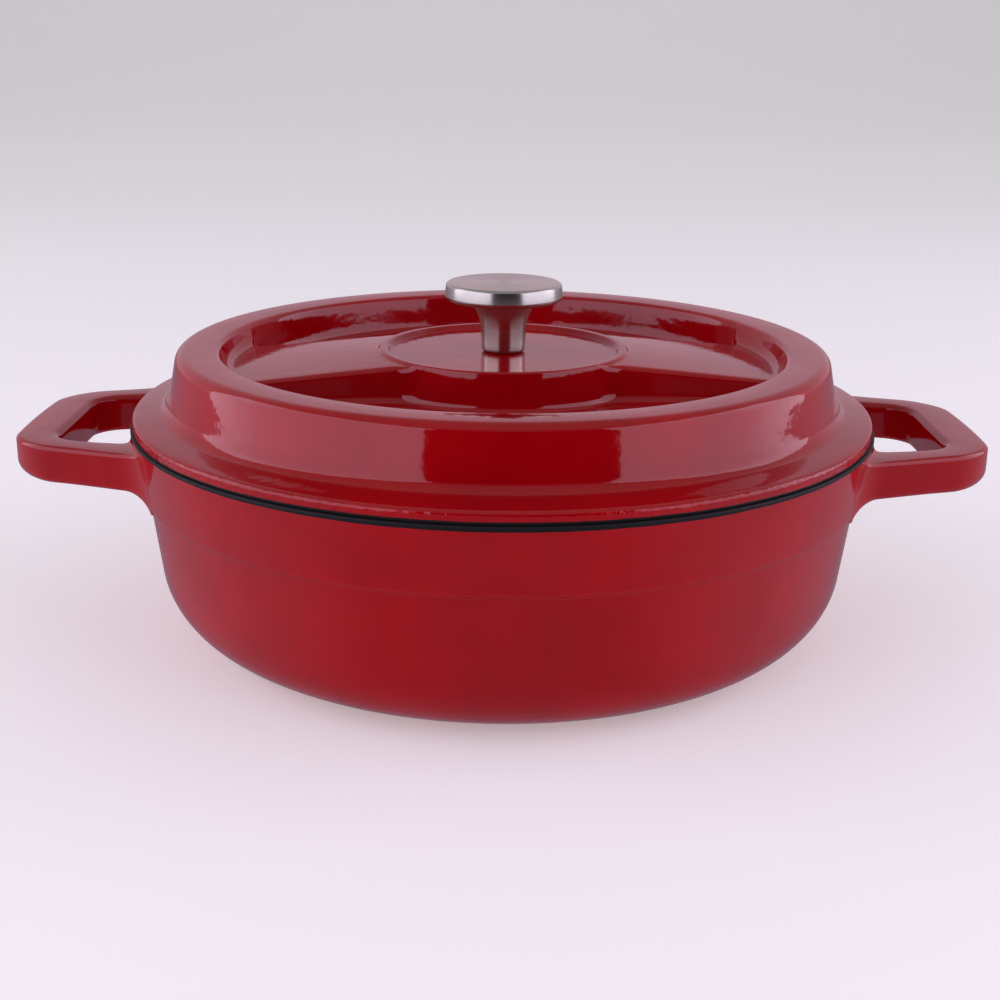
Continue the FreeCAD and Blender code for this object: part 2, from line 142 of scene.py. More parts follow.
def add_bump(
    tree: bpy.types.NodeTree, height: bpy.types.NodeSocket, depth_mm: float,
    under: bpy.types.NodeSocket | None = None,
) -> bpy.types.NodeSocket:
    """Add a bump of a real depth.

    Args:
        tree: The material's tree.
        height: The socket that gives the height, from 0 to 1.
        depth_mm: The height in millimetres that a value of 1 stands for.
        under: The normal of a bump that this one lies on.

    Returns:
        The bump's normal socket.
    """
    links = {"Height": height}
    if under is not None:
        links["Normal"] = under
    bump = add_node(tree, "ShaderNodeBump", {"Strength": 1.0, "Distance": depth_mm * MM}, links)
    return bump.outputs["Normal"]


# Finishes


@dataclass(frozen=True)
class GlossEnamel:
    """Vitreous enamel: red glass fired onto cast iron in sprayed coats.

    It is glass, so it mirrors lights sharply at an IOR of 1.5. The sprayed coats leave a faint orange peel of
    a few millimetres, and the casting under them a slower wave. The red is a little deeper where the coat is
    thicker. An edge ripple is for a piece whose glass has pooled along an edge at one height.
    """

    name: str = "cherry_vitreous_enamel"
    colour: str = "A6000A"
    thick_colour: str = "980009"
    ior: float = 1.5
    roughness: float = 0.07
    cloud_mm: float = 38.0
    peel_mm: float = 4.2
    peel_depth_mm: float = 0.055
    wave_mm: float = 26.0
    wave_depth_mm: float = 0.20
    grain_mm: float = 1.3
    grain_depth_mm: float = 0.006
    edge_middle_mm: float = 84.2
    edge_half_mm: float = 2.1
    edge_ripple_mm: float = 3.0
    edge_ripple_depth_mm: float = 0.0

    def make(self) -> bpy.types.Material:
        """Make the material.

        Returns:
            The material.
        """
        material, tree, shader = start_material(self.name)
        cloud = add_node(
            tree, "ShaderNodeMapRange", {"From Min": 0.35, "From Max": 0.65},
            {"Value": noise_on_object(tree, self.cloud_mm, 3.0)},
        )
        colour = add_node(
            tree, "ShaderNodeMix",
            {"data_type": "RGBA", 6: linear(self.colour), 7: linear(self.thick_colour)},
            {0: cloud.outputs["Result"]},
        )
        tree.links.new(colour.outputs[2], shader.inputs["Base Color"])
        normal = add_bump(tree, noise_on_object(tree, self.wave_mm, 1.0), self.wave_depth_mm)
        normal = add_bump(tree, noise_on_object(tree, self.peel_mm, 1.0), self.peel_depth_mm, normal)
        normal = add_bump(tree, noise_on_object(tree, self.grain_mm, 2.0), self.grain_depth_mm, normal)
        if self.edge_ripple_depth_mm:
            normal = add_bump(tree, self.edge_ripple(tree), self.edge_ripple_depth_mm, normal)
        tree.links.new(normal, shader.inputs["Normal"])
        shader.inputs["Roughness"].default_value = self.roughness
        shader.inputs["IOR"].default_value = self.ior
        return material

    def edge_ripple(self, tree: bpy.types.NodeTree) -> bpy.types.NodeSocket:
        """Add the ripple of enamel that has run down to an edge and pooled there.

        Args:
            tree: The material's tree.

        Returns:
            The ripple's height socket, which is flat away from the edge's height.
        """
        place = add_node(tree, "ShaderNodeTexCoord")
        axes = add_node(tree, "ShaderNodeSeparateXYZ", links={0: place.outputs["Object"]})
        away = add_node(
            tree, "ShaderNodeMath", {"operation": "SUBTRACT", 1: self.edge_middle_mm * MM},
            {0: axes.outputs["Z"]},
        )
        away = add_node(tree, "ShaderNodeMath", {"operation": "ABSOLUTE"}, {0: away.outputs["Value"]})
        near = add_node(
            tree, "ShaderNodeMapRange",
            {"From Min": self.edge_half_mm * MM, "From Max": self.edge_half_mm * MM / 2},
            {"Value": away.outputs["Value"]},
        )
        ripple = noise_on_object(tree, self.edge_ripple_mm, 3.0)
        height = add_node(
            tree, "ShaderNodeMath", {"operation": "MULTIPLY"}, {0: near.outputs["Result"], 1: ripple},
        )
        return height.outputs["Value"]


@dataclass(frozen=True)
class MattEnamel:
    """Matt black enamel: the thin ground coat on the rims and the inside.

    It is fired with fine grit in it, so it looks charcoal rather than black, with a broad soft shine and a
    sandy grain.
    """

    name: str = "matt_black_enamel"
    colour: str = "080809"
    worn_colour: str = "141313"
    ior: float = 1.4
    roughness: float = 0.62
    speck_mm: float = 0.8
    grain_depth_mm: float = 0.03

    def make(self) -> bpy.types.Material:
        """Make the material.

        Returns:
            The material.
        """
        material, tree, shader = start_material(self.name)
        speck = noise_on_object(tree, self.speck_mm, 4.0)
        contrast = add_node(
            tree, "ShaderNodeMapRange", {"From Min": 0.45, "From Max": 0.7}, {"Value": speck},
        )
        colour = add_node(
            tree, "ShaderNodeMix",
            {"data_type": "RGBA", 6: linear(self.colour), 7: linear(self.worn_colour)},
            {0: contrast.outputs["Result"]},
        )
        tree.links.new(colour.outputs[2], shader.inputs["Base Color"])
        tree.links.new(add_bump(tree, speck, self.grain_depth_mm), shader.inputs["Normal"])
        shader.inputs["Roughness"].default_value = self.roughness
        shader.inputs["IOR"].default_value = self.ior
        return material


@dataclass(frozen=True)
class GroundIron:
    """Grey cast iron under a clear grip coat, where the foot was ground flat after firing.

    The grinding leaves circular scratches, drawn here at about 0.7 mm so that they show.
    """

    name: str = "ground_foot_iron"
    colour: str = "5C5854"
    bright_colour: str = "85807B"
    roughness: float = 0.42
    scratch_mm: float = 0.7
    scratch_depth_mm: float = 0.02

    def make(self) -> bpy.types.Material:
        """Make the material.

        Returns:
            The material.
        """
        material, tree, shader = start_material(self.name)
        rings = ring_noise(tree, self.scratch_mm)
        colour = add_node(
            tree, "ShaderNodeMix",
            {"data_type": "RGBA", 6: linear(self.colour), 7: linear(self.bright_colour)},
            {0: rings},
        )
        tree.links.new(colour.outputs[2], shader.inputs["Base Color"])
        tree.links.new(add_bump(tree, rings, self.scratch_depth_mm), shader.inputs["Normal"])
        shader.inputs["Roughness"].default_value = self.roughness
        shader.inputs["Metallic"].default_value = 0.8
        return material


def ring_noise(tree: bpy.types.NodeTree, spacing_mm: float) -> bpy.types.NodeSocket:
    """Add noise that is the same all round the Z axis, as a lathe or a turntable leaves it.

    Args:
        tree: The material's tree.
        spacing_mm: The width of a ring.

    Returns:
        The noise's value socket.
    """
    place = add_node(tree, "ShaderNodeTexCoord")
    flat = add_node(
        tree, "ShaderNodeVectorMath", {"operation": "MULTIPLY", 1: (1.0, 1.0, 0.0)},
        {0: place.outputs["Object"]},
    )
    radius = add_node(tree, "ShaderNodeVectorMath", {"operation": "LENGTH"}, {0: flat.outputs["Vector"]})
    height = add_node(tree, "ShaderNodeSeparateXYZ", links={"Vector": place.outputs["Object"]})
    along = add_node(
        tree, "ShaderNodeMath", {"operation": "ADD"}, {0: radius.outputs["Value"], 1: height.outputs["Z"]},
    )
    texture = add_node(
        tree, "ShaderNodeTexNoise",
        {"noise_dimensions": "1D", "Scale": 1 / (spacing_mm * MM), "Detail": 3.0, "Roughness": 0.65},
        {"W": along.outputs["Value"]},
    )
    return texture.outputs["Fac"]


@dataclass(frozen=True)
class TurnedSteel:
    """Stainless steel, turned on a lathe and brushed to a satin.

    The brush marks run round the axis, so lights are drawn out across them. They are about 0.1 mm apart on a
    real knob and are drawn at 0.5 mm so that they show.
    """

    name: str = "satin_turned_stainless"
    colour: str = "CACABF"
    dark_colour: str = "B5B4AA"
    roughness: float = 0.24
    anisotropy: float = 0.6
    grain_turn: float = 0.25
    brush_mm: float = 0.5
    brush_depth_mm: float = 0.006

    def make(self) -> bpy.types.Material:
        """Make the material.

        Returns:
            The material.
        """
        material, tree, shader = start_material(self.name)
        rings = ring_noise(tree, self.brush_mm)
        colour = add_node(
            tree, "ShaderNodeMix",
            {"data_type": "RGBA", 6: linear(self.colour), 7: linear(self.dark_colour)},
            {0: rings},
        )
        tree.links.new(colour.outputs[2], shader.inputs["Base Color"])
        tree.links.new(add_bump(tree, rings, self.brush_depth_mm), shader.inputs["Normal"])
        round_axis = add_node(tree, "ShaderNodeTangent", {"direction_type": "RADIAL", "axis": "Z"})
        tree.links.new(round_axis.outputs["Tangent"], shader.inputs["Tangent"])
        shader.inputs["Metallic"].default_value = 1.0
        shader.inputs["Roughness"].default_value = self.roughness
        shader.inputs["Anisotropic"].default_value = self.anisotropy
        shader.inputs["Anisotropic Rotation"].default_value = self.grain_turn
        return material


@dataclass(frozen=True)
class StampedSteel:
    """Bright stainless steel of stamped and rolled small parts, with tumbling marks and no grain."""

    name: str = "bright_stainless_fastener"
    colour: str = "CFCDCB"
    dull_colour: str = "A9A7A6"
    roughness: float = 0.24
    mark_mm: float = 0.9
    mark_depth_mm: float = 0.012

    def make(self) -> bpy.types.Material:
        """Make the material.

        Returns:
            The material.
        """
        material, tree, shader = start_material(self.name)
        marks = noise_on_object(tree, self.mark_mm, 4.0)
        colour = add_node(
            tree, "ShaderNodeMix",
            {"data_type": "RGBA", 6: linear(self.colour), 7: linear(self.dull_colour)},
            {0: marks},
        )
        tree.links.new(colour.outputs[2], shader.inputs["Base Color"])
        tree.links.new(add_bump(tree, marks, self.mark_depth_mm), shader.inputs["Normal"])
        shader.inputs["Metallic"].default_value = 1.0
        shader.inputs["Roughness"].default_value = self.roughness
        return material


# Outlines and pieces


@dataclass(frozen=True)
class Corner:
    """A corner of an outline in the XZ plane, in millimetres, and how it is rounded."""

    across: float
    up: float
    rounding: float = 0.0
    segments: int = 6


def draw_outline(corners: Sequence[Corner], closed: bool = False) -> bmesh.types.BMesh:
    """Draw an outline of straight runs and rounded corners.

    Args:
        corners: The outline's corners in order.
        closed: Whether the last corner joins the first.

    Returns:
        A mesh of vertices and edges, whose "row" layer is ready to number them.
    """
    wire = bmesh.new()
    wire.verts.layers.int.new("row")
    points = [wire.verts.new((corner.across, 0.0, corner.up)) for corner in corners]
    places = [point.co.copy() for point in points]
    count = len(points)
    for index in range(count if closed else count - 1):
        wire.edges.new((points[index], points[(index + 1) % count]))
    for index, corner in enumerate(corners):
        if not corner.rounding:
            continue
        before = places[index] - places[index - 1]
        after = places[(index + 1) % count] - places[index]
        turn = before.angle(after)
        bmesh.ops.bevel(
            wire, geom=[points[index]], offset=corner.rounding * math.tan(turn / 2), offset_type="OFFSET",
            segments=corner.segments, profile=0.5, affect="VERTICES", material=-1,
        )
    return wire


def split_long_edges(outlines: Sequence[bmesh.types.BMesh], longest: float) -> None:
    """Divide the long runs of outlines that match edge for edge, so that they still match.

    Args:
        outlines: The outlines.
        longest: The longest edge that is left, in millimetres.
    """
    rows = list(zip(*(list(outline.edges) for outline in outlines)))
    for edges in rows:
        cuts = math.ceil(max(edge.calc_length() for edge in edges) / longest) - 1
        if cuts < 1:
            continue
        for outline, edge in zip(outlines, edges):
            bmesh.ops.subdivide_edges(outline, edges=[edge], cuts=cuts)


def number_rows(outline: bmesh.types.BMesh) -> list[Vector]:
    """Number an outline's vertices in their "row" layer.

    Args:
        outline: The outline.

    Returns:
        The vertices' places, by their numbers.
    """
    layer = outline.verts.layers.int["row"]
    for index, vertex in enumerate(outline.verts):
        vertex[layer] = index
    return [vertex.co.copy() for vertex in outline.verts]


def points_in_order(outline: bmesh.types.BMesh) -> list[Vector]:
    """Put an open outline's vertices in order.

    Args:
        outline: The outline.

    Returns:
        The vertices' places, from the end that was drawn first.
    """
    vertex = next(vertex for vertex in outline.verts if len(vertex.link_edges) == 1)
    edge = vertex.link_edges[0]
    places = [vertex.co.copy()]
    while True:
        vertex = edge.other_vert(vertex)
        places.append(vertex.co.copy())
        onward = [other for other in vertex.link_edges if other is not edge]
        if not onward:
            return places
        edge = onward[0]


def turn_outline(outline: bmesh.types.BMesh, steps: int) -> None:
    """Turn an outline once round the Z axis into a closed surface.

    Args:
        outline: The outline, which becomes the surface.
        steps: How many flats the full turn has.
    """
    bmesh.ops.spin(
        outline, geom=list(outline.verts) + list(outline.edges), cent=(0, 0, 0), axis=(0, 0, 1),
        dvec=(0, 0, 0), angle=2 * math.pi, steps=steps, use_merge=True, use_normal_flip=False,
        use_duplicate=False,
    )
    bmesh.ops.remove_doubles(outline, verts=list(outline.verts), dist=WELD)
    bmesh.ops.recalc_face_normals(outline, faces=list(outline.faces))


def finish_piece(
    shape: bmesh.types.BMesh, name: str, finishes: Iterable[bpy.types.Material],
) -> bpy.types.Object:
    """Scale a shape to metres and make it an object with smooth faces and crisp edges.

    Args:
        shape: The shape in millimetres, with each face's material index set.
        name: The object's name.
        finishes: The materials in the order of the faces' indices.

    Returns:
        The object, at the origin.
    """
    bmesh.ops.scale(shape, vec=(MM, MM, MM), verts=list(shape.verts))
    mesh = bpy.data.meshes.new(name)
    shape.to_mesh(mesh)
    shape.free()
    mesh.shade_smooth()
    mesh.set_sharp_from_angle(angle=CRISP_ANGLE)
    for finish in finishes:
        mesh.materials.append(finish)
    piece = bpy.data.objects.new(name, mesh)
    bpy.context.scene.collection.objects.link(piece)
    LOG.info("%s: %d faces", name, len(mesh.polygons))
    return piece


def flare(distance: float, radius: float) -> float:
    """How far a fillet stands out from its wall.

    Args:
        distance: The distance from the surface that the wall meets.
        radius: The fillet's radius.

    Returns:
        The radius at the meeting line, falling to nothing a radius away from it.
    """
    if distance >= radius:
        return 0.0
    left = radius - max(distance, 0.0)
    return radius - math.sqrt(radius ** 2 - left ** 2)


def smooth_step(value: float, low: float, high: float) -> float:
    """A smooth rise from 0 at low to 1 at high."""
    part = min(1.0, max(0.0, (value - low) / (high - low)))
    return part * part * (3 - 2 * part)


def enamel_limit(place: Vector, side_height: float, front_height: float) -> float:
    """The height at which the red enamel gives way to black round an edge.

    More of the edge is black at the front (-Y) than at the sides and back, and the limit wavers by a tenth
    of a millimetre or so every few millimetres.

    Args:
        place: A place on the edge.
        side_height: The limit at the sides and back.
        front_height: The limit at the front.

    Returns:
        The limit's height.
    """
    waver_depth, waver_length = 0.12, 7
    front = max(0.0, -place.y / math.hypot(place.x, place.y)) ** 2
    waver = waver_depth * noise_at(Vector((place.x, place.y, side_height)) / waver_length)
    return side_height + (front_height - side_height) * front + waver


# Pot


class BowlZone(Enum):
    """The bowl's finishes, by material index."""

    RED = 0
    BLACK = 1
    GROUND = 2


@dataclass
class Bowl:
    """The bowl: a flared wall, a step out to an upright band, and a black rim and inside."""

    rim_radius: float = 143.6
    rim_height: float = 81.6
    red_limit: float = 80.75
    front_red_limit: float = 79.85
    foot_inner: float = 93.0
    foot_outer: float = 105.0
    steps: int = 256
    longest_run: float = 9.0

    def corners(self) -> list[Corner]:
        """Give the outline's corners.

        Returns:
            The corners, from the middle of the base round to the middle of the floor.
        """
        return [
            Corner(0.0, 1.0),
            Corner(92.0, 1.0, 0.5, 2),
            Corner(93.2, 0.0, 0.5, 2),
            Corner(self.foot_outer, 0.0),
            Corner(130.7, 0.0, 30.0, 18),
            Corner(137.9, 56.0, 1.6, 5),
            Corner(140.3, 57.4, 2.2, 6),
            Corner(143.37, self.red_limit),
            Corner(self.rim_radius, self.rim_height, 0.7, 6),
            Corner(137.4, self.rim_height, 1.2, 5),
            Corner(127.5, 4.5, 26.0, 14),
            Corner(0.0, 4.5),
        ]

    def zone(self, face: bmesh.types.BMFace) -> BowlZone:
        """Choose a face's finish from where it lies and faces.

        Args:
            face: The face.

        Returns:
            The zone whose finish it has.
        """
        centre = face.calc_center_median()
        radius = math.hypot(centre.x, centre.y)
        outwards = face.normal.x * centre.x + face.normal.y * centre.y
        if centre.z < 0.05 and self.foot_inner < radius < self.foot_outer:
            return BowlZone.GROUND
        if centre.z > self.front_red_limit - 0.5 or outwards < -SAME or face.normal.z > 0.5:
            return BowlZone.BLACK
        return BowlZone.RED

    def build(self, red: bpy.types.Material, black: bpy.types.Material, ground: bpy.types.Material) -> None:
        """Turn the bowl and put it in place of its CAD solid.

        Args:
            red: The outside's finish.
            black: The rim's and inside's finish.
            ground: The foot ring's finish.
        """
        shape = draw_outline(self.corners())
        split_long_edges([shape], self.longest_run)
        turn_outline(shape, self.steps)
        for vertex in shape.verts:
            at_limit = abs(vertex.co.z - self.red_limit) < SAME
            if at_limit and math.hypot(vertex.co.x, vertex.co.y) > self.rim_radius - 0.6:
                vertex.co.z = enamel_limit(vertex.co, self.red_limit, self.front_red_limit)
        for face in shape.faces:
            face.material_index = self.zone(face).value
        piece = finish_piece(shape, "pot_bowl_enamelled", [red, black, ground])
        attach(piece, "pot")
        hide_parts("pot_bowl")


class Side(Enum):
    """Which end of the X axis a handle is on."""

    LEFT = -1
    RIGHT = 1


@dataclass(frozen=True)
class Station:
    """A place along a handle: its inner and outer points in plan and their distances from the band."""

    inner: Vector
    outer: Vector
    inner_distance: float
    outer_distance: float
    tip: float


@dataclass
class LoopHandle:
    """A flat loop handle whose two arms flare into the band below the rim."""

    side: Side
    top: float = 77.6
    bottom: float = 62.6
    outer_half_width: float = 50.0
    outer_taper: float = 0.316
    inner_half_width: float = 35.8
    inner_taper: float = 0.193
    widths_at: float = 150.0
    band_low: tuple[float, float] = (140.3, 57.4)
    band_high: tuple[float, float] = (143.6, 81.6)
    outer_end: float = 182.65
    inner_end: float = 168.5
    end_bow: float = 2.85
    outer_corner: float = 20.0
    inner_corner: float = 12.0
    root_round: float = 6.5
    root_round_below: float = 6.5
    root_round_above: float = 2.0
    embedded: float = 1.5
    top_outer_round: float = 1.9
    top_inner_round: float = 3.2
    bottom_inner_round: float = 2.4
    bottom_outer_round: float = 4.0
    tip_bottom_round: float = 6.0
    root_end: float = 8.0
    free_end: float = 24.0
    arm_tip_share: float = 0.35
    arm_runs: int = 7
    arc_steps: int = 7

    def band_reach(self, across: float, height: float) -> float:
        """The X of the bowl's band.

        Args:
            across: The Y of the place.
            height: The Z of the place.

        Returns:
            The X at which the band's cone passes there.
        """
        low_radius, low_height = self.band_low
        high_radius, high_height = self.band_high
        slope = (high_radius - low_radius) / (high_height - low_height)
        radius = low_radius + (height - low_height) * slope
        return math.sqrt(radius ** 2 - across ** 2)

    def side_point(self, distance: float, half_width: float, taper: float) -> Vector:
        """A point on an arm's side, at a distance from the band.

        Args:
            distance: How far the point is from the band.
            half_width: The side's Y where the widths are given.
            taper: How fast the side closes in.

        Returns:
            The point in plan.
        """
        middle = (self.top + self.bottom) / 2
        reach = self.widths_at
        for _ in range(12):
            across = half_width - taper * (reach - self.widths_at)
            reach = self.band_reach(across, middle) + distance
        return Vector((reach, across))

    def end_points(self, end: float, half_width: float, taper: float, rounding: float) -> list[Vector]:
        """The plan points from the start of a corner to the handle's middle.

        Args:
            end: The X of the end before it bows.
            half_width: The side's Y where the widths are given.
            taper: How fast the side closes in.
            rounding: The corner's radius.

        Returns:
            The points in order.
        """
        near = end - 2 * rounding
        corners = [
            Corner(near, half_width - taper * (near - self.widths_at)),
            Corner(end, half_width - taper * (end - self.widths_at), rounding, 10),
            Corner(end, 0.0),
        ]
        outline = draw_outline(corners)
        end_edges = [
            edge for edge in outline.edges if all(vertex.co.x > end - SAME for vertex in edge.verts)
        ]
        bmesh.ops.subdivide_edges(outline, edges=end_edges, cuts=9)
        points = [Vector((place.x, place.z)) for place in points_in_order(outline)]
        outline.free()
        return points[1:]

    def stations(self) -> list[Station]:
        """Lay out the stations along the handle.

        Returns:
            The stations, from one root round to the other.
        """
        outer = (self.outer_half_width, self.outer_taper)
        inner = (self.inner_half_width, self.inner_taper)
        far = 99.0
        half = []
        for distance in (-self.embedded, 0.0, 0.15, 0.5, 1.0, 1.7, 2.6, 3.7, 5.0, 6.5, self.root_end):
            points = self.side_point(distance, *inner), self.side_point(distance, *outer)
            half.append(Station(*points, distance, distance, 0.0))
        inner_end = self.end_points(self.inner_end, *inner, self.inner_corner)
        outer_end = self.end_points(self.outer_end, *outer, self.outer_corner)
        last = half[-1]
        for step in range(1, self.arm_runs):
            part = step / self.arm_runs
            points = last.inner.lerp(inner_end[0], part), last.outer.lerp(outer_end[0], part)
            distances = self.root_end + 18 * part, self.root_end + 26 * part
            half.append(Station(*points, *distances, self.arm_tip_share * part))
        count = len(inner_end)
        for index, (inner_point, outer_point) in enumerate(zip(inner_end, outer_end)):
            bow = self.end_bow * max(0.0, 1 - (outer_point.y / self.outer_half_width) ** 2)
            bow *= smooth_step(index, 0, 10)
            bowed = outer_point + Vector((bow, 0))
            tip = self.arm_tip_share + (1 - self.arm_tip_share) * smooth_step(index, 0, count / 2)
            half.append(Station(inner_point, bowed, far, far, tip))
        mirrored = [
            Station(
                Vector((place.inner.x, -place.inner.y)), Vector((place.outer.x, -place.outer.y)),
                place.inner_distance, place.outer_distance, place.tip,
            )
            for place in half[:-1]
        ]
        return half + mirrored[::-1]

    def section(self, station: Station) -> list[Vector]:
        """The rounded section of the handle at a station.

        Args:
            station: The station.

        Returns:
            The section's points in space, in order round it.
        """
        distance = (station.inner_distance + station.outer_distance) / 2
        low = self.bottom - flare(distance, self.root_round_below)
        high = self.top + flare(distance, self.root_round_above)
        across = (station.outer - station.inner).normalized()
        spread = flare(distance, self.root_round)
        inner = station.inner - across * spread
        outer = station.outer + across * spread
        width = (outer - inner).length
        low_outer = self.bottom_outer_round + (self.tip_bottom_round - self.bottom_outer_round) * station.tip
        rounds = [
            (0.0, low, 1, 1, self.bottom_inner_round, 180),
            (width, low, -1, 1, low_outer, 270),
            (width, high, -1, -1, self.top_outer_round, 0),
            (0.0, high, 1, -1, self.top_inner_round, 90),
        ]
        free = smooth_step(distance, self.root_end, self.free_end)
        points = []
        for corner_across, corner_up, right, up, radius, start in rounds:
            centre = (corner_across + right * radius, corner_up + up * radius)
            for step in range(self.arc_steps + 1):
                angle = math.radians(start + 90 * step / self.arc_steps)
                along = centre[0] + radius * math.cos(angle)
                height = centre[1] + radius * math.sin(angle)
                plan = inner + across * along
                own = station.inner_distance
                own += (station.outer_distance - station.inner_distance) * min(1, max(0, along / width))
                banded = self.band_reach(plan.y, height) + own
                points.append(Vector((banded + (plan.x - banded) * free, plan.y, height)))
        return points

    def build(self, red: bpy.types.Material) -> None:
        """Draw the section along the handle and put it in place of its CAD solid.

        Args:
            red: The finish.
        """
        stations = self.stations()
        shape = bmesh.new()
        spot = shape.verts.layers.int.new("row")
        ring = [shape.verts.new(place) for place in self.section(stations[0])]
        for index, vertex in enumerate(ring):
            vertex[spot] = index
        edges = [shape.edges.new((ring[index - 1], ring[index])) for index in range(len(ring))]
        caps = [edges]
        for station in stations[1:]:
            places = self.section(station)
            made = bmesh.ops.extrude_edge_only(shape, edges=edges)["geom"]
            fresh = {part for part in made if isinstance(part, bmesh.types.BMVert)}
            for vertex in fresh:
                vertex.co = places[vertex[spot]]
            edges = [
                part for part in made
                if isinstance(part, bmesh.types.BMEdge) and all(vertex in fresh for vertex in part.verts)
            ]
        caps.append(edges)
        for rim in caps:
            bmesh.ops.contextual_create(shape, geom=rim)
        bmesh.ops.scale(shape, vec=(self.side.value, 1, 1), verts=list(shape.verts))
        bmesh.ops.recalc_face_normals(shape, faces=list(shape.faces))
        name = self.side.name.lower()
        piece = finish_piece(shape, f"{name}_handle_enamelled", [red])
        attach(piece, "pot")
        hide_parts(f"{name}_handle")


# Lid


class LidZone(Enum):
    """The lid's two sections: across the bar that carries the knob, and across a pocket beside it."""

    BAR = 0
    POCKET = 1


@dataclass
class Lid:
    """The lid: a flange, a wall up to a ring, and inside the ring a bar between two sunk pockets.

    The outline is turned round the axis, and then every spoke is moved so that beside the bar the spokes run
    straight along it. Each takes a share of the bar's section and of the pocket's.
    """

    half_turn_steps: int = 208
    longest_run: float = 3.0
    bar_half_width: float = 32.5
    bar_taper: float = 0.05
    bar_edge_round: float = 2.4
    pocket_wall_lean: float = 1.2
    pocket_depth: float = 12.0
    pocket_foot_round: float = 4.0
    bar_zone: float = 39.0
    disc_radius: float = 48.4
    ring_radius: float = 107.6
    edge_radius: float = 142.5
    plan_round: float = 5.0
    crown_reach: float = 112.5
    boss_flat: tuple[float, float] = (24.0, 33.0)
    turned_by: float = 4.0
    red_limit: float = 82.25
    front_red_limit: float = 82.8

    def corners(self, zone: LidZone) -> list[Corner]:
        """The closed outline of one zone.

        Args:
            zone: The section's zone. Both zones have the same corners in the same order.

        Returns:
            The outline, from the screw hole out over the top and back under it.
        """
        bar = zone is LidZone.BAR
        disc_foot = Corner(48.9, 106.75, 1.0) if bar else Corner(49.6, 93.0, 3.2)
        ring_foot = Corner(107.0, 100.8, 4.0) if bar else Corner(107.2, 93.0, 4.5)
        channel = Corner(112.2, 96.3, 1.0, 3) if bar else Corner(112.1, 88.5, 4.0, 3)
        boss = Corner(107.0, 96.3) if bar else Corner(105.0, 88.5)
        hub_foot = Corner(43.0, 100.4, 1.0, 3) if bar else Corner(43.9, 88.5, 4.0, 3)
        hub = Corner(40.0, 101.55) if bar else Corner(41.5, 101.55)
        return [
            Corner(3.3, 106.0),
            Corner(44.0, 106.0, 0.8, 4),
            Corner(45.3, 107.9, 0.9, 5),
            Corner(47.8, 107.9, 0.9, 6),
            disc_foot,
            ring_foot,
            Corner(109.3, 108.9, 2.2, 8),
            Corner(116.5, 109.3, 60.0, 4),
            Corner(125.2, 109.2, 4.0, 10),
            Corner(129.2, 88.2, 5.5, 10),
            Corner(self.edge_radius, 86.0, 1.9, 8),
            Corner(self.edge_radius, self.red_limit),
            Corner(self.edge_radius, 81.6, 0.5, 4),
            Corner(136.4, 81.6),
            Corner(135.8, 76.6, 0.6, 2),
            Corner(131.6, 76.6, 0.6, 2),
            Corner(131.6, 83.0, 1.0, 3),
            Corner(124.7, 83.0, 1.0, 3),
            Corner(120.7, 104.8, 2.5, 4),
            Corner(114.0, 104.4, 1.2, 3),
            channel,
            boss,
            hub_foot,
            hub,
            Corner(3.3, 101.55),
        ]

    def bar_lines(self) -> list[tuple[float, float]]:
        """The lines beside the bar, from its middle to beyond its wall.

        Returns:
            Each line's Y and its share of the pocket's section.
        """
        depth = self.pocket_depth
        wall_foot = self.bar_half_width + self.pocket_wall_lean
        wire = draw_outline([
            Corner(0.0, 0.0),
            Corner(self.bar_half_width, 0.0, self.bar_edge_round, 8),
            Corner(wall_foot, -depth, self.pocket_foot_round, 9),
            Corner(self.bar_zone, -depth),
        ])
        split_long_edges([wire], 3.2)
        lines = sorted((vertex.co.x, -vertex.co.z / depth) for vertex in wire.verts)
        wire.free()
        return lines

    def spoke(self, column: int, radius: float, lines: list[tuple[float, float]]) -> float:
        """The angle of a spoke at a radius.

        Args:
            column: The spoke's number.
            radius: The radius in millimetres.
            lines: The lines beside the bar.

        Returns:
            The angle in radians.
        """
        last = len(lines) - 1
        half_turns, place = divmod(column + last, self.half_turn_steps)
        held = min(max(radius, self.disc_radius), self.ring_radius)
        spread = flare(held - self.disc_radius, self.plan_round)
        spread += flare(self.ring_radius - held, self.plan_round)
        widened = self.bar_taper * (held - (self.disc_radius + self.ring_radius) / 2)
        if place <= 2 * last:
            line = place - last
            across = lines[abs(line)][0]
            across += (spread + widened) * smooth_step(across, 0.3 * self.bar_half_width, self.bar_half_width)
            angle = math.copysign(math.asin(across / held), line)
        else:
            edge = math.asin((lines[last][0] + spread + widened) / held)
            part = (place - 2 * last) / (self.half_turn_steps - 2 * last)
            angle = edge + (math.pi - 2 * edge) * part
        return angle + half_turns * math.pi

    def share(self, column: int, lines: list[tuple[float, float]]) -> float:
        """The pocket section's share on top of the lid at a spoke.

        Args:
            column: The spoke's number.
            lines: The lines beside the bar.

        Returns:
            The share, from 0 on the bar to 1 in the pocket.
        """
        last = len(lines) - 1
        place = (column + last) % self.half_turn_steps
        return lines[abs(place - last)][1] if place <= 2 * last else 1.0

    def is_under_crown(self, place: Vector) -> bool:
        """Whether a place on the bar's outline, inside the ring, is on the underside."""
        return place.x < self.crown_reach and place.z < 103.5 - 0.078 * (place.x - 43)

